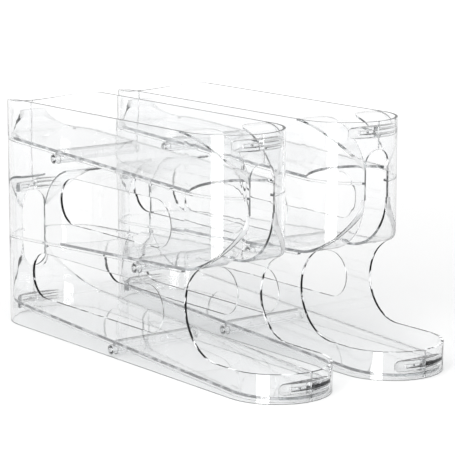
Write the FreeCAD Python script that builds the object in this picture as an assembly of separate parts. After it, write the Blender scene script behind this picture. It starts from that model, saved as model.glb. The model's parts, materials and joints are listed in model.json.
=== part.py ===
import FreeCAD, Part
import math
import os

os.makedirs("parts", exist_ok=True)

# Overall sizes in millimetres, depths are measured forward from the rear face
lane_width = 80.0
lane_length = 356.0
lane_height = 180.0
tray_length = 54.0
tray_height = 21.0
lane_gap = 26.0

# Top edge at the rear, it rounds down over this length
rim_fall_length = 45.0
rim_fall_drop = 8.0
rim_fall_bulge = 1.9

# Sheet thickness and fits
wall = 2.0
seam_gap = 0.2
fit_gap = 0.4
slide_gap = 0.3
rest_gap = 0.05
overlap = 0.5
overrun = 6.0

# Ramps, the rooms are free heights and lengths that the load needs beside them
ramp_thickness = 2.0
ramp_fall = math.tan(math.radians(2.6))
tray_floor_height = 2.334
top_room = 30.6
middle_level_share = 0.38655
front_drop_room = 36.0
rear_drop_room = 100.0
hollow_radius = 50.0
top_curl_radius = 17.0
middle_curl_radius = 42.0
bottom_curl_radius = 40.0
ledge_width = 3.0
ledge_thickness = 1.6

# Upright slots, foot and head are the wall left below and above them
slot_width = 21.5
front_slot_foot = 7.2
front_slot_head = 20.6
rear_slot_foot = 20.4
rear_slot_head = 20.0

# Long windows, foot and head are the wall left to the ramps at their narrowest
upper_window_foot = 10.2
upper_window_head = 10.2
upper_window_rear_margin = 3.5
upper_window_front_margin = 56.0
lower_window_foot = 10.8
lower_window_head = 7.9
lower_window_rear = 62.5
lower_window_front_margin = 65.5

# Centre of the round bite above the tray, ahead of the centre of the curl
bite_reach = 40.6
right_bite_reach = 24.5

# Windows of the right wall lie this much nearer to the rear than those of the left wall
right_window_setback = 13.5

# Quarter-round guide webs under the two upper corners of the path
roof_radius = 46.0
roof_mouth_radius = 12.0
roof_thickness = 1.4
rear_roof_drop = 29.4

# Snap clips across the seam
clip_depth = 9.0
clip_height = 8.0
clip_rail = 1.6
clip_skin = 1.4
tongue_length = 14.0
tongue_height = 2.4
tongue_eye = 1.4
tongue_eye_reach = 6.7
front_clip_drop = 8.0
tray_clip_rise = 7.5
rear_clip_drop = 15.0
foot_clip_height = 9.0

# Snap pins under the ramps, their depths are shares of the upper length
top_pin_share = 0.3113
middle_pin_share = 0.6639
bottom_pin_share = 0.5613
pin_drop = 5.3
pin_shank = 5.6
pin_bore = 3.4
pin_head = 7.0
pin_head_thickness = 0.8
pin_nose = 12.0
pin_plug_wall = 6.0
barrel_wall = 1.0
barrel_web = 1.6

# Derived sizes of the wall
upper_length = lane_length - tray_length
end_radius = lane_width / 2
inner_radius = end_radius - wall
rear_face = lane_length / 2
lane_pitch = lane_width + lane_gap

# Derived sizes of the ramps, a ramp's height is that of its lower face at the rear of the lane
ramp_inset = wall + fit_gap
slope_length = math.sqrt(1 + ramp_fall * ramp_fall)
bottom_ramp_height = tray_floor_height + ramp_fall * lane_length
top_ramp_height = lane_height - top_room
ramp_span = top_ramp_height - bottom_ramp_height
middle_ramp_height = bottom_ramp_height + middle_level_share * ramp_span
top_ramp_end = upper_length - front_drop_room
middle_ramp_end = rear_drop_room
ramp_half_width = end_radius - ramp_inset
top_curl_centre = ramp_inset + top_curl_radius
middle_curl_centre = upper_length - ramp_inset - middle_curl_radius
bottom_curl_centre = ramp_inset + bottom_curl_radius


# Side-view line of a ramp, a positive fall drops toward the front
def ramp_line(rear_height, fall, depth):
    return rear_height - fall * depth


def top_line(depth):
    return ramp_line(top_ramp_height, ramp_fall, depth)


def middle_line(depth):
    return ramp_line(middle_ramp_height, -ramp_fall, depth)


def bottom_line(depth):
    return ramp_line(bottom_ramp_height, ramp_fall, depth)


# Derived places of the openings
ramp_upright = ramp_thickness * slope_length
rear_roof_top = top_ramp_height - rear_roof_drop
front_slot_low = middle_line(middle_curl_centre) + front_slot_foot
front_slot_high = lane_height - front_slot_head
rear_slot_low = bottom_line(bottom_curl_centre) + rear_slot_foot
rear_slot_high = rear_roof_top - rear_slot_head
upper_window_rear = middle_ramp_end + upper_window_rear_margin
upper_window_front = upper_length - upper_window_front_margin
upper_window_low = middle_line(upper_window_front) + ramp_upright + upper_window_foot
upper_window_high = top_line(upper_window_front) - upper_window_head
lower_window_front = upper_length - lower_window_front_margin
lower_window_low = bottom_line(lower_window_rear) + ramp_upright + lower_window_foot
lower_window_high = middle_line(lower_window_rear) - lower_window_head

# Derived edge of the wall along the curl, and its rise above the tray edge
curl_edge_radius = middle_curl_radius
curl_height = middle_line(middle_curl_centre) + middle_curl_radius * slope_length
bite_rise = curl_height - tray_height


# Radius of a bite that touches the tray edge and the edge along the curl
def bite_radius(reach):
    power = reach * reach + bite_rise * bite_rise - curl_edge_radius * curl_edge_radius
    return power / (bite_rise + curl_edge_radius) / 2



# Derived places of the clips and pins
front_clip_height = lane_height - front_clip_drop
tray_clip_height = tray_floor_height + tray_clip_rise
rear_clip_height = rear_roof_top - rear_clip_drop
top_pin_depth = upper_length * top_pin_share
middle_pin_depth = upper_length * middle_pin_share
bottom_pin_depth = upper_length * bottom_pin_share
barrel_half = inner_radius - ledge_width - fit_gap
barrel_bore = pin_shank + 2 * slide_gap
barrel_size = barrel_bore + 2 * barrel_wall

across = FreeCAD.Vector(1, 0, 0)
upward = FreeCAD.Vector(0, 0, 1)
rearward = FreeCAD.Vector(0, 1, 0)


def at(x, depth, height):
    return FreeCAD.Vector(x, rear_face - depth, height)


def box(x_low, x_high, depth_low, depth_high, z_low, z_high):
    corner = at(x_low, depth_high, z_low)
    return Part.makeBox(x_high - x_low, depth_high - depth_low, z_high - z_low, corner)


def rod(diameter, x_low, x_high, depth, height):
    return Part.makeCylinder(diameter / 2, x_high - x_low, at(x_low, depth, height), across)


def face_of(edges):
    return Part.Face(Part.Wire(edges))


def plan_stadium(inset, front_depth, z_low, z_high):
    radius = end_radius - inset
    rear_turn = inset + radius
    front_turn = front_depth - inset - radius
    rear_left = at(-radius, rear_turn, z_low)
    rear_right = at(radius, rear_turn, z_low)
    front_left = at(-radius, front_turn, z_low)
    front_right = at(radius, front_turn, z_low)
    rear_tip = at(0, inset, z_low)
    front_tip = at(0, front_depth - inset, z_low)
    edges = [
        Part.Arc(rear_left, rear_tip, rear_right).toShape(),
        Part.makeLine(rear_right, front_right),
        Part.Arc(front_right, front_tip, front_left).toShape(),
        Part.makeLine(front_left, rear_left),
    ]
    return face_of(edges).extrude(upward * (z_high - z_low))


def wall_tube(front_depth, z_low, z_high):
    outside = plan_stadium(0, front_depth, z_low, z_high)
    inside = plan_stadium(wall, front_depth, z_low - overrun, z_high + overrun)
    return outside.cut(inside)


def through_lane(edges):
    half = end_radius + overrun
    flat = face_of(edges)
    flat.translate(across * (-half))
    return flat.extrude(across * (2 * half))


def curl_centre_height(rear_height, fall, depth, radius):
    return ramp_line(rear_height, fall, depth) + radius * slope_length


# Band between two offsets above the lower face of a ramp that ends in a curl
def curled_band(rear_height, fall, free_end, centre_depth, radius, side, low, high):
    centre_z = curl_centre_height(rear_height, fall, centre_depth, radius)
    lean = fall / slope_length
    rise = 1 / slope_length
    middle_size = math.hypot(side - lean, rise)
    middle_depth = (side - lean) / middle_size
    middle_rise = -rise / middle_size
    rows = []
    for offset in (low, high):
        reach = radius - offset
        free = at(0, free_end, ramp_line(rear_height, fall, free_end) + offset * slope_length)
        start = at(0, centre_depth - reach * lean, centre_z - reach * rise)
        middle = at(0, centre_depth + reach * middle_depth, centre_z + reach * middle_rise)
        end = at(0, centre_depth + reach * side, centre_z)
        rows.append((free, start, middle, end))
    under, over = rows
    edges = [
        Part.makeLine(under[0], under[1]),
        Part.Arc(under[1], under[2], under[3]).toShape(),
        Part.makeLine(under[3], over[3]),
        Part.Arc(over[3], over[2], over[1]).toShape(),
        Part.makeLine(over[1], over[0]),
        Part.makeLine(over[0], under[0]),
    ]
    return through_lane(edges)


# Straight strip just below the lower face of a ramp
def ledge_band(rear_height, fall, start, end):
    high = -rest_gap * slope_length
    low = high - ledge_thickness * slope_length
    corners = [
        at(0, start, ramp_line(rear_height, fall, start) + low),
        at(0, end, ramp_line(rear_height, fall, end) + low),
        at(0, end, ramp_line(rear_height, fall, end) + high),
        at(0, start, ramp_line(rear_height, fall, start) + high),
    ]
    corners.append(corners[0])
    return through_lane(Part.makePolygon(corners).Edges)


def ledge(rear_height, fall, start, end, front_depth):
    outside = plan_stadium(wall - overlap, front_depth, 0, lane_height)
    inside = plan_stadium(wall + ledge_width, front_depth, -overrun, lane_height + overrun)
    return outside.cut(inside).common(ledge_band(rear_height, fall, start, end))


# Air above the rear part of the top edge
def rear_rim_cut():
    above = lane_height + overrun
    low = lane_height - rim_fall_drop
    bend = lane_height - rim_fall_drop / 2 + rim_fall_bulge
    start = at(0, rim_fall_length, lane_height)
    end = at(0, 0, low)
    edges = [
        Part.Arc(start, at(0, rim_fall_length / 2, bend), end).toShape(),
        Part.makeLine(end, at(0, -overrun, low)),
        Part.makeLine(at(0, -overrun, low), at(0, -overrun, above)),
        Part.makeLine(at(0, -overrun, above), at(0, rim_fall_length, above)),
        Part.makeLine(at(0, rim_fall_length, above), start),
    ]
    return through_lane(edges)


# Upright cutter that hollows the free end of a ramp, facing is 1 when that end is the front one
def end_hollow(corner_depth, facing):
    reach = math.sqrt(hollow_radius * hollow_radius - ramp_half_width * ramp_half_width)
    centre = at(0, corner_depth + facing * reach, 0)
    return Part.makeCylinder(hollow_radius, lane_height, centre)


# Upright slot seen from the front, cut between two depths
def upright_slot(low, high, depth_low, depth_high):
    half = slot_width / 2
    edges = [
        Part.makeLine(at(-half, depth_high, low + half), at(-half, depth_high, high - half)),
        Part.Arc(
            at(-half, depth_high, high - half),
            at(0, depth_high, high),
            at(half, depth_high, high - half),
        ).toShape(),
        Part.makeLine(at(half, depth_high, high - half), at(half, depth_high, low + half)),
        Part.Arc(
            at(half, depth_high, low + half),
            at(0, depth_high, low),
            at(-half, depth_high, low + half),
        ).toShape(),
    ]
    return face_of(edges).extrude(rearward * (depth_high - depth_low))


def front_slot():
    beyond = upper_length + overrun
    return upright_slot(front_slot_low, front_slot_high, middle_curl_centre, beyond)


# The front slot runs down the curl and ends round in the flat part of the ramp
def curl_slot():
    half = slot_width / 2
    low = middle_line(middle_curl_centre) - overrun
    high = front_slot_low + slot_width
    beyond = upper_length + overrun
    run = box(-half, half, middle_curl_centre, beyond, low, high)
    end = Part.makeCylinder(half, high - low, at(0, middle_curl_centre, low))
    return run.fuse(end)


def rear_slot():
    return upright_slot(rear_slot_low, rear_slot_high, -overrun, end_radius)


# Long window through a side wall
def side_window(low, high, rear, front):
    radius = (high - low) / 2
    middle = low + radius
    edges = [
        Part.makeLine(at(0, rear + radius, low), at(0, front - radius, low)),
        Part.Arc(
            at(0, front - radius, low),
            at(0, front, middle),
            at(0, front - radius, high),
        ).toShape(),
        Part.makeLine(at(0, front - radius, high), at(0, rear + radius, high)),
        Part.Arc(
            at(0, rear + radius, high),
            at(0, rear, middle),
            at(0, rear + radius, low),
        ).toShape(),
    ]
    return through_lane(edges)


# Side-view cut in front of the lane, a round bite above the tray that meets the curl edge
def front_cut(reach):
    radius = bite_radius(reach)
    bite_height = tray_height + radius
    bite_depth = middle_curl_centre + reach
    turn = math.atan2(curl_height - bite_height, -reach)
    half_turn = (turn + math.pi * 3 / 2) / 2
    edge_turn = turn + math.pi
    edge_half = (edge_turn + math.pi * 2) / 2

    def on_bite(angle):
        depth = bite_depth + radius * math.cos(angle)
        return at(0, depth, bite_height + radius * math.sin(angle))

    def on_edge(angle):
        depth = middle_curl_centre + curl_edge_radius * math.cos(angle)
        return at(0, depth, curl_height + curl_edge_radius * math.sin(angle))

    far = lane_length + overrun
    meet = on_bite(turn)
    tip = on_edge(math.pi * 2)
    edges = [
        Part.makeLine(at(0, far, tray_height), at(0, bite_depth, tray_height)),
        Part.Arc(at(0, bite_depth, tray_height), on_bite(half_turn), meet).toShape(),
        Part.Arc(meet, on_edge(edge_half), tip).toShape(),
        Part.makeLine(tip, at(0, far, curl_height)),
        Part.makeLine(at(0, far, curl_height), at(0, far, tray_height)),
    ]
    return through_lane(edges)


# Plan outline of one guide web, with a rounded mouth corner beside the slot
def roof_plan(side, mouth, end):
    turn = math.copysign(roof_mouth_radius, end - mouth)
    slot_edge = side * slot_width / 2
    mouth_edge = side * (slot_width / 2 + roof_mouth_radius)
    outer = side * end_radius
    bend = roof_mouth_radius * (1 - math.sqrt(2) / 2)
    bend_depth = math.copysign(bend, end - mouth)
    edges = [
        Part.makeLine(at(outer, mouth, 0), at(mouth_edge, mouth, 0)),
        Part.Arc(
            at(mouth_edge, mouth, 0),
            at(slot_edge + side * bend, mouth + bend_depth, 0),
            at(slot_edge, mouth + turn, 0),
        ).toShape(),
        Part.makeLine(at(slot_edge, mouth + turn, 0), at(slot_edge, end, 0)),
        Part.makeLine(at(slot_edge, end, 0), at(outer, end, 0)),
        Part.makeLine(at(outer, end, 0), at(outer, mouth, 0)),
    ]
    return face_of(edges).extrude(upward * lane_height)


# Pair of quarter-round webs, facing is 1 at the front and -1 at the rear
def roof_webs(centre_depth, top, facing):
    centre_z = top - roof_radius
    half_root = math.sqrt(2) / 2
    rows = []
    for radius in (roof_radius, roof_radius - roof_thickness):
        high = at(0, centre_depth, centre_z + radius)
        bend = at(0, centre_depth + facing * radius * half_root, centre_z + radius * half_root)
        low = at(0, centre_depth + facing * radius, centre_z)
        rows.append((high, bend, low))
    outer, inner = rows
    edges = [
        Part.Arc(outer[0], outer[1], outer[2]).toShape(),
        Part.makeLine(outer[2], inner[2]),
        Part.Arc(inner[2], inner[1], inner[0]).toShape(),
        Part.makeLine(inner[0], outer[0]),
    ]
    band = through_lane(edges)
    room = plan_stadium(wall - overlap, upper_length, 0, lane_height)
    arch = band.common(room)
    end = centre_depth + facing * (roof_radius + overrun)
    webs = []
    for side in (-1, 1):
        webs.append(arch.common(roof_plan(side, centre_depth, end)))
    return webs


def ramp_pins():
    return (
        ("top", top_pin_depth, top_line(top_pin_depth)),
        ("middle", middle_pin_depth, middle_line(middle_pin_depth)),
        ("bottom", bottom_pin_depth, bottom_line(bottom_pin_depth)),
    )


side_windows = (
    (upper_window_low, upper_window_high, upper_window_rear, upper_window_front),
    (lower_window_low, lower_window_high, lower_window_rear, lower_window_front),
)


# Whole lane wall before it is parted at the seam
def lane_wall():
    split = tray_height + bite_radius(bite_reach)
    shell = wall_tube(lane_length, 0, split).fuse(wall_tube(upper_length, split, lane_height))
    shell = shell.cut(front_cut(bite_reach))
    additions = [
        ledge(top_ramp_height, ramp_fall, top_curl_centre, upper_length, upper_length),
        ledge(middle_ramp_height, -ramp_fall, 0, middle_curl_centre, upper_length),
        ledge(bottom_ramp_height, ramp_fall, bottom_curl_centre, lane_length, lane_length),
    ]
    additions += roof_webs(upper_length - wall / 2 - roof_radius, lane_height, 1)
    additions += roof_webs(wall / 2 + roof_radius, rear_roof_top, -1)
    shell = shell.fuse(additions)
    shell = shell.cut(rear_rim_cut())
    shell = shell.cut(front_slot())
    shell = shell.cut(rear_slot())
    for name, depth, height in ramp_pins():
        shell = shell.cut(pin_hole(depth, height - pin_drop))
    return shell.removeSplitter()


def pin_hole(depth, height):
    reach = end_radius + overrun
    hole = rod(pin_shank + 2 * rest_gap, -reach, reach, depth, height)
    seat = pin_head + 2 * rest_gap
    left_seat = rod(seat, -reach, pin_head_thickness - end_radius, depth, height)
    right_seat = rod(seat, end_radius - pin_head_thickness, reach, depth, height)
    return hole.fuse([left_seat, right_seat])


# Bar with round ends, seen from the front, between two depths
def lying_pill(half, low, high, depth_low, depth_high):
    radius = (high - low) / 2
    flat = half - radius
    middle = low + radius
    edges = [
        Part.makeLine(at(-flat, depth_high, low), at(flat, depth_high, low)),
        Part.Arc(
            at(flat, depth_high, low),
            at(half, depth_high, middle),
            at(flat, depth_high, high),
        ).toShape(),
        Part.makeLine(at(flat, depth_high, high), at(-flat, depth_high, high)),
        Part.Arc(
            at(-flat, depth_high, high),
            at(-half, depth_high, middle),
            at(-flat, depth_high, low),
        ).toShape(),
    ]
    return face_of(edges).extrude(rearward * (depth_high - depth_low))


# Block behind the curved wall where a clip sits, facing is 1 at the front and -1 at the rear
def clip_block(wall_depth, facing, height):
    chord = wall_depth - facing * clip_depth
    beyond = wall_depth + facing * overrun
    drop = end_radius - clip_depth
    half = math.sqrt(inner_radius * inner_radius - drop * drop)
    low = height - clip_height / 2
    high = height + clip_height / 2
    front_depth = lane_length
    if facing < 0 or wall_depth < lane_length:
        front_depth = upper_length
    room = plan_stadium(wall - overlap, front_depth, low, high)
    depth_low = min(chord, beyond)
    depth_high = max(chord, beyond)
    return room.common(lying_pill(half, low, high, depth_low, depth_high))


def clip_socket(wall_depth, facing, height):
    block = clip_block(wall_depth, facing, height)
    floor = wall_depth - facing * (clip_depth - clip_skin)
    beyond = wall_depth + facing * overrun
    room = tongue_height / 2 + slide_gap
    depth_low = min(floor, beyond)
    depth_high = max(floor, beyond)
    reach = tongue_length + fit_gap
    pocket = box(-reach, end_radius, depth_low, depth_high, height - room, height + room)
    left = box(-end_radius, -seam_gap / 2, -overrun, lane_length + overrun, 0, lane_height)
    return block.cut(pocket).common(left)


def clip_tongue(wall_depth, facing, height):
    turn = wall_depth - facing * end_radius
    skin = wall_depth - facing * (clip_depth - clip_skin - slide_gap)
    drop = math.sqrt(inner_radius * inner_radius - tongue_length * tongue_length)
    near_wall = turn + facing * (drop - slide_gap)
    depth_low = min(skin, near_wall)
    depth_high = max(skin, near_wall)
    low = height - tongue_height / 2
    high = height + tongue_height / 2
    bar = box(-tongue_length, clip_height, depth_low, depth_high, low, high)
    start = at(-tongue_eye_reach, depth_high + overrun, height)
    eye = Part.makeCylinder(tongue_eye / 2, depth_high - depth_low + 2 * overrun, start, rearward)
    return bar.cut(eye)


def clip_rails(wall_depth, facing, height):
    block = clip_block(wall_depth, facing, height)
    inner = tongue_height / 2
    outer = clip_height / 2 - clip_rail
    beyond = lane_length + overrun
    for low, high in ((inner, outer), (-outer, -inner)):
        groove = box(-end_radius, end_radius, -overrun, beyond, height + low, height + high)
        block = block.cut(groove)
    right = box(seam_gap / 2, end_radius, -overrun, beyond, 0, lane_height)
    rails = block.common(right)
    return [rails, clip_tongue(wall_depth, facing, height)]


clip_places = (
    (upper_length, 1, front_clip_height),
    (lane_length, 1, tray_clip_height),
    (0, -1, rear_clip_height),
    (0, -1, foot_clip_height),
)


# Everything between two widths, longer and higher than the lane
def half_space(x_low, x_high):
    beyond = lane_length + overrun
    return box(x_low, x_high, -overrun, beyond, -overrun, lane_height + overrun)


def with_windows(shell, setback):
    for low, high, rear, front in side_windows:
        shell = shell.cut(side_window(low, high, rear - setback, front - setback))
    return shell


def left_shell(whole):
    shell = whole.common(half_space(-end_radius - overrun, -seam_gap / 2))
    shell = with_windows(shell, 0)
    sockets = []
    for wall_depth, facing, height in clip_places:
        sockets.append(clip_socket(wall_depth, facing, height))
    return shell.fuse(sockets).removeSplitter()


# The bite and the windows of the right wall lie further to the rear
def right_shell(whole):
    shell = whole.common(half_space(seam_gap / 2, end_radius + overrun))
    shell = shell.cut(front_cut(right_bite_reach))
    shell = with_windows(shell, right_window_setback)
    pieces = []
    for wall_depth, facing, height in clip_places:
        pieces += clip_rails(wall_depth, facing, height)
    return shell.fuse(pieces).removeSplitter()


# Tube under a ramp that takes the two snap pins
def with_barrel(plate, depth, line_height):
    axis = line_height - pin_drop
    tube = rod(barrel_size, -barrel_half, barrel_half, depth, axis)
    half = barrel_web / 2
    web_top = line_height + ramp_thickness / 2
    web = box(-barrel_half, barrel_half, depth - half, depth + half, axis, web_top)
    bore = rod(barrel_bore, -barrel_half - overrun, barrel_half + overrun, depth, axis)
    return plate.fuse([tube, web]).cut(bore).removeSplitter()


def top_ramp():
    band = curled_band(
        top_ramp_height,
        ramp_fall,
        top_ramp_end,
        top_curl_centre,
        top_curl_radius,
        -1,
        0,
        ramp_thickness,
    )
    plate = band.common(plan_stadium(ramp_inset, upper_length, 0, lane_height))
    plate = plate.cut(end_hollow(top_ramp_end, 1))
    return with_barrel(plate, top_pin_depth, top_line(top_pin_depth))


def middle_ramp():
    band = curled_band(
        middle_ramp_height,
        -ramp_fall,
        middle_ramp_end,
        middle_curl_centre,
        middle_curl_radius,
        1,
        0,
        ramp_thickness,
    )
    plate = band.common(plan_stadium(ramp_inset, upper_length, 0, lane_height))
    plate = plate.cut([front_slot(), curl_slot(), end_hollow(middle_ramp_end, -1)])
    return with_barrel(plate, middle_pin_depth, middle_line(middle_pin_depth))


def bottom_ramp():
    band = curled_band(
        bottom_ramp_height,
        ramp_fall,
        lane_length,
        bottom_curl_centre,
        bottom_curl_radius,
        -1,
        0,
        ramp_thickness,
    )
    plate = band.common(plan_stadium(ramp_inset, lane_length, 0, lane_height))
    plate = plate.cut(rear_slot())
    return with_barrel(plate, bottom_pin_depth, bottom_line(bottom_pin_depth))


def pin_socket(depth, height):
    head = rod(pin_head, -end_radius, pin_head_thickness - end_radius, depth, height)
    shank = rod(pin_shank, -end_radius, -seam_gap / 2, depth, height)
    bore = rod(pin_bore, -end_radius - overrun, overrun, depth, height)
    return head.fuse(shank).cut(bore).removeSplitter()


def pin_plug(depth, height):
    head = rod(pin_head, end_radius - pin_head_thickness, end_radius, depth, height)
    shank = rod(pin_shank, seam_gap / 2, end_radius, depth, height)
    nose = rod(pin_bore - 2 * slide_gap, -pin_nose, pin_plug_wall, depth, height)
    bore = rod(pin_bore, pin_plug_wall, end_radius + overrun, depth, height)
    return head.fuse(shank).cut(bore).fuse(nose).removeSplitter()


def lane_pieces():
    whole = lane_wall()
    pieces = {
        "left_shell": left_shell(whole),
        "right_shell": right_shell(whole),
        "top_ramp": top_ramp(),
        "middle_ramp": middle_ramp(),
        "bottom_ramp": bottom_ramp(),
    }
    for name, depth, line_height in ramp_pins():
        pieces[name + "_pin_socket"] = pin_socket(depth, line_height - pin_drop)
        pieces[name + "_pin_plug"] = pin_plug(depth, line_height - pin_drop)
    return pieces


pieces = lane_pieces()
for lane, place in (("lane_a", -lane_pitch / 2), ("lane_b", lane_pitch / 2)):
    for name, shape in pieces.items():
        placed = shape.copy()
        placed.translate(across * place)
        placed.exportStep("parts/" + lane + "_" + name + ".step")
        solids = len(placed.Solids)
        print(lane, name, solids, placed.isValid(), round(placed.Volume))
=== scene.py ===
import bpy
import bmesh
import json
import math
from mathutils import Matrix, Vector


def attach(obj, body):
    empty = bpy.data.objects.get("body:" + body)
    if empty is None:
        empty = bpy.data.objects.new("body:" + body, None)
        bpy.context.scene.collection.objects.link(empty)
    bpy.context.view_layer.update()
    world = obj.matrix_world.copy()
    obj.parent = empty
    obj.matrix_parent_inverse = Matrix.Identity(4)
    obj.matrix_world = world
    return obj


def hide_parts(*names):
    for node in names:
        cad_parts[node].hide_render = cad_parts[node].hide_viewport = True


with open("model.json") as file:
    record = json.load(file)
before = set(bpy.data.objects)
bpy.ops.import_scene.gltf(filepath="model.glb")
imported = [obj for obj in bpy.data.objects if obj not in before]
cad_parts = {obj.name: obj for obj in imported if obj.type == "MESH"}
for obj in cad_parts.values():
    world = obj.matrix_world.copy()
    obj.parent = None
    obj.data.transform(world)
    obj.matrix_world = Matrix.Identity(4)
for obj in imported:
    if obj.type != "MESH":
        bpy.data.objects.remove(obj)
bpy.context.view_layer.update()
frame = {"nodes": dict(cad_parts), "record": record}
scene = bpy.context.scene
print("frame loaded:", len(frame["nodes"]), "nodes")

# camera at the photo's angle, worked out for a square picture
cameraLook = {
    "place": (-0.9585, -1.2631, 0.3906),
    "yaw": 37.479,      # degrees from straight ahead to the right
    "pitch": 10.769,    # degrees down
    "roll": 0.145,
    "lens": 167.76,
    "sensor": 36,
    "clip": (0.05, 60),
}


def makeCamera(look):
    data = bpy.data.cameras.new("photoCamera")
    data.lens = look["lens"]
    data.sensor_width = look["sensor"]
    data.clip_start, data.clip_end = look["clip"]
    camera = bpy.data.objects.new("photoCamera", data)
    turn = Matrix.Rotation(math.radians(-look["yaw"]), 4, "Z")
    tilt = Matrix.Rotation(math.radians(90 - look["pitch"]), 4, "X")
    roll = Matrix.Rotation(math.radians(look["roll"]), 4, "Z")
    camera.matrix_world = Matrix.Translation(look["place"]) @ turn @ tilt @ roll
    scene.collection.objects.link(camera)
    scene.camera = camera


makeCamera(cameraLook)
print("camera set")

# places of the colour sockets on a Mix node
mixFirst, mixSecond, mixResult = 6, 7, 2


def newGroup(name, given, made):
    group = bpy.data.node_groups.new(name, "ShaderNodeTree")
    for label, kind, default in given:
        socket = group.interface.new_socket(name=label, in_out="INPUT", socket_type=kind)
        socket.default_value = default
    for label, kind in made:
        group.interface.new_socket(name=label, in_out="OUTPUT", socket_type=kind)
    return group, group.nodes.new("NodeGroupInput"), group.nodes.new("NodeGroupOutput")


flowShape = {
    "stretch": (1.0, 0.28, 0.7),    # the melt runs along the lane, so the flow is longest there
    "detail": 4,
    "distortion": 0.6,
    "skinDetail": 2,
    "skinShare": 0.35,
    "hazeFrom": (0.3, 0.75),
}


# shared effect: faint flow lines and haze of moulded clear plastic
def makeFlowGroup(shape):
    group, given, out = newGroup(
        "mouldFlow",
        (
            ("Thin Tint", "NodeSocketColor", (0.98, 0.985, 0.99, 1)),
            ("Deep Tint", "NodeSocketColor", (0.95, 0.96, 0.965, 1)),
            ("Haze Low", "NodeSocketFloat", 0.004),
            ("Haze High", "NodeSocketFloat", 0.02),
            ("Flow Scale", "NodeSocketFloat", 22.0),
            ("Skin Scale", "NodeSocketFloat", 240.0),
        ),
        (("Tint", "NodeSocketColor"), ("Haze", "NodeSocketFloat"), ("Ripple", "NodeSocketFloat")),
    )
    nodes, links = group.nodes, group.links
    coords = nodes.new("ShaderNodeTexCoord")
    stretch = nodes.new("ShaderNodeMapping")
    stretch.inputs["Scale"].default_value = shape["stretch"]
    flow = nodes.new("ShaderNodeTexNoise")
    flow.inputs["Detail"].default_value = shape["detail"]
    flow.inputs["Distortion"].default_value = shape["distortion"]
    skin = nodes.new("ShaderNodeTexNoise")
    skin.inputs["Detail"].default_value = shape["skinDetail"]
    tint = nodes.new("ShaderNodeMix")
    tint.data_type = "RGBA"
    haze = nodes.new("ShaderNodeMapRange")
    blend = nodes.new("ShaderNodeMath")
    blend.operation = "MULTIPLY_ADD"
    blend.inputs[1].default_value = shape["skinShare"]
    links.new(coords.outputs["Object"], stretch.inputs["Vector"])
    links.new(stretch.outputs["Vector"], flow.inputs["Vector"])
    links.new(coords.outputs["Object"], skin.inputs["Vector"])
    links.new(given.outputs["Flow Scale"], flow.inputs["Scale"])
    links.new(given.outputs["Skin Scale"], skin.inputs["Scale"])
    links.new(flow.outputs["Fac"], tint.inputs["Factor"])
    links.new(given.outputs["Thin Tint"], tint.inputs[mixFirst])
    links.new(given.outputs["Deep Tint"], tint.inputs[mixSecond])
    links.new(flow.outputs["Fac"], haze.inputs["Value"])
    links.new(given.outputs["Haze Low"], haze.inputs["To Min"])
    links.new(given.outputs["Haze High"], haze.inputs["To Max"])
    haze.inputs["From Min"].default_value = shape["hazeFrom"][0]
    haze.inputs["From Max"].default_value = shape["hazeFrom"][1]
    links.new(skin.outputs["Fac"], blend.inputs[0])
    links.new(flow.outputs["Fac"], blend.inputs[2])
    links.new(tint.outputs[mixResult], out.inputs["Tint"])
    links.new(haze.outputs["Result"], out.inputs["Haze"])
    links.new(blend.outputs["Value"], out.inputs["Ripple"])
    return group


dashShape = {
    "stretch": (2.6, 1.0, 1.0),     # thin lines across the sheet, longer dashes along the edge
    "detail": 3,
    "roughness": 0.6,
    "sharpness": 14.0,
}


# shared effect: painted shade and painted highlight, as dark and light dashes that run along a cut
# edge of the sheet where light is lost and caught inside it
def makeDashGroup(shape):
    group, given, out = newGroup(
        "paintedEdgeLightDashes",
        (
            ("Dark", "NodeSocketColor", (0.02, 0.02, 0.02, 1)),
            ("Light", "NodeSocketColor", (0.8, 0.8, 0.8, 1)),
            ("Dash Scale", "NodeSocketFloat", 90.0),
            ("Dark Share", "NodeSocketFloat", 0.6),
        ),
        (("Tint", "NodeSocketColor"),),
    )
    nodes, links = group.nodes, group.links
    coords = nodes.new("ShaderNodeTexCoord")
    stretch = nodes.new("ShaderNodeMapping")
    stretch.inputs["Scale"].default_value = shape["stretch"]
    dash = nodes.new("ShaderNodeTexNoise")
    dash.inputs["Detail"].default_value = shape["detail"]
    dash.inputs["Roughness"].default_value = shape["roughness"]
    step = nodes.new("ShaderNodeMath")
    step.operation = "SUBTRACT"
    sharp = nodes.new("ShaderNodeMath")
    sharp.operation = "MULTIPLY"
    sharp.inputs[1].default_value = shape["sharpness"]
    sharp.use_clamp = True
    tint = nodes.new("ShaderNodeMix")
    tint.data_type = "RGBA"
    links.new(coords.outputs["Object"], stretch.inputs["Vector"])
    links.new(stretch.outputs["Vector"], dash.inputs["Vector"])
    links.new(given.outputs["Dash Scale"], dash.inputs["Scale"])
    links.new(dash.outputs["Fac"], step.inputs[0])
    links.new(given.outputs["Dark Share"], step.inputs[1])
    links.new(step.outputs["Value"], sharp.inputs[0])
    links.new(sharp.outputs["Value"], tint.inputs["Factor"])
    links.new(given.outputs["Dark"], tint.inputs[mixFirst])
    links.new(given.outputs["Light"], tint.inputs[mixSecond])
    links.new(tint.outputs[mixResult], out.inputs["Tint"])
    return group


flowGroup = makeFlowGroup(flowShape)
dashGroup = makeDashGroup(dashShape)


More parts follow.
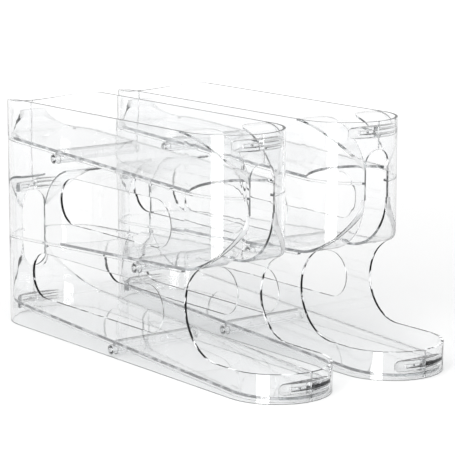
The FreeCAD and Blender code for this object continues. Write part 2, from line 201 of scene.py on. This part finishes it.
def clearPlastic(name, look):
    material = bpy.data.materials.new(name)
    material.use_nodes = True
    nodes, links = material.node_tree.nodes, material.node_tree.links
    nodes.clear()
    out = nodes.new("ShaderNodeOutputMaterial")
    plastic = nodes.new("ShaderNodeBsdfPrincipled")
    plastic.inputs["Transmission Weight"].default_value = look["clear"]
    plastic.inputs["IOR"].default_value = look["ior"]
    flow = nodes.new("ShaderNodeGroup")
    flow.node_tree = flowGroup
    flow.inputs["Thin Tint"].default_value = (*look["thinTint"], 1)
    flow.inputs["Deep Tint"].default_value = (*look["deepTint"], 1)
    flow.inputs["Haze Low"].default_value = look["hazeLow"]
    flow.inputs["Haze High"].default_value = look["hazeHigh"]
    flow.inputs["Flow Scale"].default_value = look["flowScale"]
    flow.inputs["Skin Scale"].default_value = look["skinScale"]
    bump = nodes.new("ShaderNodeBump")
    bump.inputs["Strength"].default_value = look["ripple"]
    bump.inputs["Distance"].default_value = look["rippleDepth"]
    # cut faces take painted shade and highlight dashes as their colour in place of the plastic's tint
    if "dashPaintedShade" in look:
        dash = nodes.new("ShaderNodeGroup")
        dash.node_tree = dashGroup
        dash.inputs["Dark"].default_value = (*look["dashPaintedShade"], 1)
        dash.inputs["Light"].default_value = (*look["dashPaintedHighlight"], 1)
        dash.inputs["Dash Scale"].default_value = look["dashScale"]
        dash.inputs["Dark Share"].default_value = look["darkShare"]
        links.new(dash.outputs["Tint"], plastic.inputs["Base Color"])
    else:
        links.new(flow.outputs["Tint"], plastic.inputs["Base Color"])
    links.new(flow.outputs["Haze"], plastic.inputs["Roughness"])
    links.new(flow.outputs["Ripple"], bump.inputs["Height"])
    links.new(bump.outputs["Normal"], plastic.inputs["Normal"])
    rays = nodes.new("ShaderNodeLightPath")     # shadows and soft light pass straight through
    either = nodes.new("ShaderNodeMath")
    either.operation = "MAXIMUM"
    through = nodes.new("ShaderNodeBsdfTransparent")
    through.inputs["Color"].default_value = (*look["shadow"], 1)
    mix = nodes.new("ShaderNodeMixShader")
    links.new(rays.outputs["Is Shadow Ray"], either.inputs[0])
    links.new(rays.outputs["Is Diffuse Ray"], either.inputs[1])
    links.new(either.outputs["Value"], mix.inputs["Fac"])
    links.new(plastic.outputs["BSDF"], mix.inputs[1])
    links.new(through.outputs["BSDF"], mix.inputs[2])
    links.new(mix.outputs["Shader"], out.inputs["Surface"])
    depth = nodes.new("ShaderNodeVolumeAbsorption")     # long ways through the sheet go grey
    depth.inputs["Color"].default_value = (*look["depthColor"], 1)
    depth.inputs["Density"].default_value = look["depthDensity"]
    links.new(depth.outputs["Volume"], out.inputs["Volume"])
    return material


shellFinish = {
    "clear": 1.0,
    "ior": 1.49,
    "thinTint": (0.99, 0.991, 0.993),
    "deepTint": (0.98, 0.982, 0.984),
    "hazeLow": 0.0,
    "hazeHigh": 0.012,
    "flowScale": 20.0,
    "skinScale": 220.0,
    "ripple": 0.05,
    "rippleDepth": 0.0004,
    "shadow": (0.935, 0.938, 0.94),
    "depthColor": (0.50, 0.56, 0.58),
    "depthDensity": 11.0,
}
rampFinish = dict(shellFinish, flowScale=26.0, hazeHigh=0.02, ripple=0.06, depthDensity=5.0)
pinFinish = dict(shellFinish, flowScale=60.0, hazeHigh=0.03, ripple=0.04, depthDensity=4.0, ior=1.24)
# painted shade and painted highlight: near-black and white dashes on cut faces round windows, bites
# and trays
rimPaintedLightFinish = dict(
    shellFinish,
    clear=0.25,
    ior=1.3,
    dashPaintedShade=(0.004, 0.004, 0.005),
    dashPaintedHighlight=(0.92, 0.93, 0.94),
    dashScale=70.0,
    darkShare=0.53,
)
# painted shade: dark lines on the top and foot rims
edgePaintedShadeFinish = dict(rimPaintedLightFinish, clear=0.15, ior=1.12, dashPaintedHighlight=(0.12, 0.122, 0.125), darkShare=0.62)
# painted shade and painted highlight: grey and white dashes on the slots and seams
linePaintedLightFinish = dict(
    rimPaintedLightFinish,
    clear=0.8,
    ior=1.12,
    dashPaintedShade=(0.24, 0.245, 0.25),
    dashPaintedHighlight=(0.9, 0.905, 0.91),
    dashScale=110.0,
    darkShare=0.5,
)
# painted shade and painted highlight: dark and light dashes on the clips
clipPaintedLightFinish = dict(rimPaintedLightFinish, clear=0.6, ior=1.49, dashScale=160.0, darkShare=0.54)
# painted highlight: pale grey faces along the curl edge, in the pin holes and on the caps of the
# ramps' curls
softPaintedHighlightFinish = dict(
    shellFinish,
    clear=0.3,
    ior=1.1,
    hazeHigh=0.3,
    thinTint=(0.7, 0.705, 0.71),
    deepTint=(0.5, 0.505, 0.51),
)
# painted shade: the tray clip's dark bar
barPaintedShadeFinish = dict(rimPaintedLightFinish, darkShare=0.9)
# painted shade: a thin grey line on a ramp's cut edge
platePaintedShadeFinish = dict(
    linePaintedLightFinish,
    clear=0.5,
    dashPaintedShade=(0.2, 0.203, 0.207),
    dashPaintedHighlight=(0.5, 0.505, 0.51),
)
finishes = {
    "clear_shell": clearPlastic("clearShell", shellFinish),
    "clear_ramp": clearPlastic("clearRamp", rampFinish),
    "clear_pin": clearPlastic("clearPin", pinFinish),
}
cutMaterials = {
    "shell": [
        clearPlastic("clearRimPaintedLight", rimPaintedLightFinish),
        clearPlastic("clearEdgePaintedShade", edgePaintedShadeFinish),
        clearPlastic("clearLinePaintedLight", linePaintedLightFinish),
        clearPlastic("clearClipPaintedLight", clipPaintedLightFinish),
        clearPlastic("clearSoftPaintedHighlight", softPaintedHighlightFinish),
        clearPlastic("clearBarPaintedShade", barPaintedShadeFinish),
    ],
    "plate": [clearPlastic("clearPlatePaintedShade", platePaintedShadeFinish), clearPlastic("clearCapPaintedHighlight", softPaintedHighlightFinish)],
    "none": [],
}
print("finishes made:", len(finishes) + sum(len(made) for made in cutMaterials.values()))

# material slots of a shell after the clear sheet, each painted light on cut faces: rim is the painted
# shade and highlight dashes round windows, bites and trays, edge the painted shade on the top and foot
# rims, line the painted shade and highlight on the slots and seams, clip the same on the clips, soft
# the painted pale highlight along the curl and in the pin holes, bar the painted shade of the tray
# clip's dark bar
sheetSlot, rimSlot, edgeSlot, lineSlot, clipSlot, softSlot, shadeBarSlot = range(7)
# material slots of a ramp after the clear sheet: painted shade as a thin line, and a painted pale
# highlight as the cap at the end of a curl
plateSlot, capSlot = 1, 2
# places of the cut faces that get painted shade and highlight
rimLook = {
    "width": 0.0022,        # a cut face is no wider than the sheet
    "sideFrom": 0.0375,     # a side wall is at least this far from the lane's middle
    "sideHeights": (0.0215, 0.1795),
    "across": 0.05,         # a cut through a side wall faces across the lane by less than this
    "square": 0.98,
    "level": 0.9,
    "near": 0.0006,
    "webs": ((-0.077, 0.134), (0.131, 0.074)),      # axes of the guide webs, which stay clear
    "webRadius": (0.0438, 0.0468),
    "slotFrom": 0.001,
    "slotHalf": 0.0112,
    "slotTurn": 0.1,
    "curl": (-0.0796, 0.1228, 0.0420),              # axis and radius of the wall's edge along the curl
    "curlTurn": 0.2,
    "capTilt": 0.3,
    "fold": 1,              # radians, a smaller turn is part of a curved face
    "pins": ((0.084, 0.1398), (-0.0225, 0.0729), (0.0085, 0.0055)),
    "pinReach": 0.005,
    "seamHalf": 0.0008,
    "topRim": 0.165,
    "foot": 0.001,
    "trayRim": (0.0195, 0.0215),
    "bar": (-0.169, 0.0085, 0.0112),
    "clipHalf": 0.0041,
    "clips": (
        (0.172, -0.1245, -0.1145),
        (0.0098, -0.1785, -0.1685),
        (0.105, 0.1685, 0.1785),
        (0.009, 0.1685, 0.1785),
    ),
}


def isNarrow(face, look):
    around = sum(e.calc_length() for e in face.edges)
    return 2 * face.calc_area() / max(around, 1e-9) < look["width"]


# picks for each cut face of a shell its painted shade and highlight finish, or the clear sheet
def cutKind(face, middle, look):
    normal = face.normal
    centre = face.calc_center_median()
    aside = abs(centre.x - middle)
    for y, z in look["pins"]:
        if aside > look["sideFrom"] and math.hypot(centre.y - y, centre.z - z) < look["pinReach"]:
            return softSlot if abs(normal.x) < look["across"] else sheetSlot
    if abs(normal.x) < look["curlTurn"] and normal.z < look["curlTurn"]:
        y, z, radius = look["curl"]
        if abs(math.hypot(centre.y - y, centre.z - z) - radius) < look["near"]:
            return softSlot
    low, high = look["sideHeights"]
    if abs(normal.x) < look["across"] and aside > look["sideFrom"] and low < centre.z < high:
        return rimSlot
    if abs(normal.z) > look["square"]:
        for height, nearEnd, farEnd in look["clips"]:
            if abs(centre.z - height) < look["clipHalf"] and nearEnd < centre.y < farEnd:
                return clipSlot
    # the dark bar of the tray clip is painted shade
    y, low, high = look["bar"]
    if normal.y > look["square"] and abs(centre.y - y) < look["near"]:
        if low < centre.z < high and centre.x > middle:
            return shadeBarSlot
    for y, z in look["webs"]:
        if look["webRadius"][0] < math.hypot(centre.y - y, centre.z - z) < look["webRadius"][1]:
            return sheetSlot
    if not isNarrow(face, look):
        return sheetSlot
    if abs(normal.x) > look["square"] and aside < look["seamHalf"]:
        return lineSlot
    if abs(normal.y) < look["slotTurn"] and look["slotFrom"] < aside < look["slotHalf"]:
        return lineSlot
    if abs(normal.z) > look["level"] and (centre.z > look["topRim"] or centre.z < look["foot"]):
        return edgeSlot
    low, high = look["trayRim"]
    return rimSlot if normal.z > look["level"] and low < centre.z < high else sheetSlot


# the cut edge of a ramp stays clear in the slot; elsewhere it gets painted shade, or a painted pale
# highlight at the end of a curl
def plateKind(face, middle, look):
    longest = max(face.edges, key=lambda e: e.calc_length())
    if not isNarrow(face, look) or abs(longest.calc_face_angle(0)) < look["fold"]:
        return sheetSlot
    aside = abs(face.calc_center_median().x - middle)
    if aside < look["slotHalf"] and abs(face.normal.x) > look["curlTurn"]:
        return sheetSlot
    return capSlot if abs(face.normal.z) > look["capTilt"] else plateSlot


# middle of each lane across the part
laneMiddle = {"lane_a": -0.053, "lane_b": 0.053}


# moulded pieces: merged copies of the CAD pieces with softened edges
def mouldedCopy(nodeName, look):
    source = frame["nodes"][nodeName]
    bm = bmesh.new()
    bm.from_mesh(source.data)
    bmesh.ops.remove_doubles(bm, verts=bm.verts, dist=look["merge"])
    low = Vector([min(v.co[i] for v in bm.verts) for i in range(3)])
    high = Vector([max(v.co[i] for v in bm.verts) for i in range(3)])
    bmesh.ops.dissolve_limit(
        bm,
        angle_limit=math.radians(look["flat"]),
        verts=bm.verts,
        edges=bm.edges,
        use_dissolve_boundaries=False,
        delimit=set(),
    )
    bm.normal_update()
    middle = laneMiddle[nodeName[:6]]
    cutFaces = 0
    for face in bm.faces:
        if look["rims"] == "shell":
            face.material_index = cutKind(face, middle, rimLook)
        elif look["rims"] == "plate":
            face.material_index = plateKind(face, middle, rimLook)
        cutFaces += face.material_index > sheetSlot
    corner = math.radians(look["corner"])
    sharp = [e for e in bm.edges if e.is_manifold and abs(e.calc_face_angle(0)) > corner]
    bmesh.ops.bevel(
        bm,
        geom=sharp,
        offset=look["edge"],
        offset_type="OFFSET",
        affect="EDGES",
        segments=look["segments"],
        profile=0.5,
        clamp_overlap=look["clamp"],
        material=-1,
    )
    for vert in bm.verts:       # no corner of a bevel leaves the piece's own box
        for i in range(3):
            vert.co[i] = min(max(vert.co[i], low[i]), high[i])
    bmesh.ops.remove_doubles(bm, verts=bm.verts, dist=look["merge"])
    for face in bm.faces:
        face.smooth = True
    mesh = bpy.data.meshes.new(nodeName + "_moulded")
    bm.to_mesh(mesh)
    bm.free()
    piece = bpy.data.objects.new(nodeName + "_moulded", mesh)
    scene.collection.objects.link(piece)
    even = piece.modifiers.new("evenShade", "WEIGHTED_NORMAL")
    even.mode = "FACE_AREA"
    even.weight = look["weight"]
    even.keep_sharp = True
    print(nodeName, "faces", len(mesh.polygons), "cut faces", cutFaces)
    return piece


shellLook = {
    "merge": 2e-6,
    "flat": 0.6,        # degrees
    "corner": 28,       # degrees
    "edge": 0.00016,
    "segments": 2,
    "clamp": False,
    "weight": 100,
    "rims": "shell",
}
rampLook = dict(shellLook, edge=0.0002, rims="plate")
pinLook = dict(shellLook, edge=0.00012, rims="none")


def lookFor(nodeName):
    if nodeName.endswith("shell"):
        return shellLook, "clear_shell"
    if nodeName.endswith("ramp"):
        return rampLook, "clear_ramp"
    return pinLook, "clear_pin"


for body, members in frame["record"]["behaviour"]["bodies"].items():
    for nodeName in members:
        look, slotName = lookFor(nodeName)
        piece = mouldedCopy(nodeName, look)
        piece.data.materials.append(finishes[slotName])
        # the painted shade and highlight finishes of the cut faces follow the clear sheet
        for material in cutMaterials[look["rims"]]:
            piece.data.materials.append(material)
        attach(piece, body)
        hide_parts(nodeName)
print("pieces dressed")

# plain stage: a pale floor, white to the camera and through the plastic, keeping the shadow
floorLook = {
    "size": 14.0,
    "drop": 0.0002,
    "tone": 0.5,
    "nearLift": 0.245,
    "farLift": 0.70,
    "nearReach": 0.25,
    "farReach": 1.6,
}


def makeFloor(look):
    bm = bmesh.new()
    bmesh.ops.create_grid(bm, x_segments=1, y_segments=1, size=look["size"] / 2)
    mesh = bpy.data.meshes.new("floor")
    bm.to_mesh(mesh)
    bm.free()
    floor = bpy.data.objects.new("floor", mesh)
    floor.location = (0, 0, -look["drop"])
    scene.collection.objects.link(floor)
    material = bpy.data.materials.new("paleFloor")
    material.use_nodes = True
    nodes, links = material.node_tree.nodes, material.node_tree.links
    nodes.clear()
    out = nodes.new("ShaderNodeOutputMaterial")
    matt = nodes.new("ShaderNodeBsdfDiffuse")
    matt.inputs["Color"].default_value = (look["tone"], look["tone"], look["tone"], 1)
    glow = nodes.new("ShaderNodeEmission")
    glow.inputs["Color"].default_value = (1, 1, 1, 1)
    rays = nodes.new("ShaderNodeLightPath")
    coords = nodes.new("ShaderNodeTexCoord")
    reach = nodes.new("ShaderNodeVectorMath")
    reach.operation = "LENGTH"
    # the lamps fade away from the object, so the glow grows there
    lift = nodes.new("ShaderNodeMapRange")
    lift.inputs["From Min"].default_value = look["nearReach"]
    lift.inputs["From Max"].default_value = look["farReach"]
    lift.inputs["To Min"].default_value = look["nearLift"]
    lift.inputs["To Max"].default_value = look["farLift"]
    seen = nodes.new("ShaderNodeMath")
    seen.operation = "MAXIMUM"
    level = nodes.new("ShaderNodeMath")
    level.operation = "MULTIPLY"
    both = nodes.new("ShaderNodeAddShader")
    links.new(coords.outputs["Object"], reach.inputs[0])
    links.new(reach.outputs["Value"], lift.inputs["Value"])
    links.new(rays.outputs["Is Camera Ray"], seen.inputs[0])
    links.new(rays.outputs["Is Transmission Ray"], seen.inputs[1])
    links.new(seen.outputs["Value"], level.inputs[0])
    links.new(lift.outputs["Result"], level.inputs[1])
    links.new(level.outputs["Value"], glow.inputs["Strength"])
    links.new(matt.outputs["BSDF"], both.inputs[0])
    links.new(glow.outputs["Emission"], both.inputs[1])
    links.new(both.outputs["Shader"], out.inputs["Surface"])
    mesh.materials.append(material)
    floor.visible_glossy = False
    # the strip goes on below the floor, and the trays mirror that part
    floor.visible_shadow = False


makeFloor(floorLook)

worldLook = {
    "level": 0.8,
    "mirrorLow": 0.6,
    "mirrorHigh": 0.97,
    "horizon": (-0.05, 0.12),
    # place and tone of the grey band between the white ends
    "stops": ((0.08, 1.0), (0.2, 0.35), (0.62, 0.35), (0.78, 1.0)),
}


def makeWorld(look):
    world = bpy.data.worlds.new("studio")
    world.use_nodes = True
    scene.world = world
    nodes, links = world.node_tree.nodes, world.node_tree.links
    nodes.clear()
    out = nodes.new("ShaderNodeOutputWorld")
    back = nodes.new("ShaderNodeBackground")
    coords = nodes.new("ShaderNodeTexCoord")
    split = nodes.new("ShaderNodeSeparateXYZ")
    ramp = nodes.new("ShaderNodeValToRGB")
    stops = ramp.color_ramp.elements
    stops[0].position = 0.0
    stops[0].color = (1, 1, 1, 1)
    stops[1].position = 1.0
    stops[1].color = (1, 1, 1, 1)
    for place, tone in look["stops"]:
        stop = stops.new(place)
        stop.color = (tone, tone, tone, 1)
    # bright above the horizon, as the ramps mirror it, and grey below
    mirror = nodes.new("ShaderNodeMapRange")
    mirror.inputs["From Min"].default_value = look["horizon"][0]
    mirror.inputs["From Max"].default_value = look["horizon"][1]
    mirror.inputs["To Min"].default_value = look["mirrorLow"]
    mirror.inputs["To Max"].default_value = look["mirrorHigh"]
    rays = nodes.new("ShaderNodeLightPath")
    glossy = nodes.new("ShaderNodeMix")
    glossy.data_type = "RGBA"
    soft = nodes.new("ShaderNodeMix")
    soft.data_type = "RGBA"
    soft.inputs[mixSecond].default_value = (look["level"],) * 3 + (1,)
    white = nodes.new("ShaderNodeMix")
    white.data_type = "RGBA"
    white.inputs[mixSecond].default_value = (1, 1, 1, 1)
    links.new(coords.outputs["Generated"], split.inputs["Vector"])
    links.new(split.outputs["Z"], ramp.inputs["Fac"])
    links.new(split.outputs["Z"], mirror.inputs["Value"])
    links.new(ramp.outputs["Color"], glossy.inputs[mixFirst])
    links.new(mirror.outputs["Result"], glossy.inputs[mixSecond])
    links.new(rays.outputs["Is Glossy Ray"], glossy.inputs["Factor"])
    links.new(glossy.outputs[mixResult], soft.inputs[mixFirst])
    links.new(rays.outputs["Is Diffuse Ray"], soft.inputs["Factor"])
    links.new(soft.outputs[mixResult], white.inputs[mixFirst])
    links.new(rays.outputs["Is Camera Ray"], white.inputs["Factor"])
    links.new(white.outputs[mixResult], back.inputs["Color"])
    links.new(back.outputs["Background"], out.inputs["Surface"])


makeWorld(worldLook)


def softbox(name, look):
    data = bpy.data.lights.new(name, "AREA")
    data.shape = "RECTANGLE"
    data.size, data.size_y = look["size"]
    data.energy = look["power"]
    lamp = bpy.data.objects.new(name, data)
    back = (Vector(look["place"]) - Vector(look["aim"])).normalized()
    side = Vector((0, 0, 1)).cross(back).normalized()
    turn = Matrix((side, back.cross(side), back)).transposed().to_4x4()
    lamp.matrix_world = Matrix.Translation(look["place"]) @ turn
    lamp.visible_camera = False
    lamp.visible_transmission = False
    scene.collection.objects.link(lamp)


stripLook = {
    "place": (-1.098, -0.746, 0.2),
    "aim": (-0.08, -0.11, 0.2),
    "size": (0.39, 2.2),
    "power": 36.0,
}
flankLook = {
    "place": (-1.218, -0.491, 0.2),
    "aim": (-0.08, -0.11, 0.2),
    "size": (0.19, 2.2),
    "power": 10.0,
}
topLook = {
    "place": (-0.5, -0.2, 1.5),
    "aim": (0.0, 0.0, 0.05),
    "size": (1.1, 1.1),
    "power": 16.0,
}
softbox("stripLight", stripLook)
softbox("stripFlank", flankLook)
softbox("topLight", topLook)

scene.view_settings.view_transform = "Standard"
scene.cycles.max_bounces = 40
scene.cycles.transmission_bounces = 40
scene.cycles.transparent_max_bounces = 64
scene.cycles.glossy_bounces = 12
print("stage and light set")
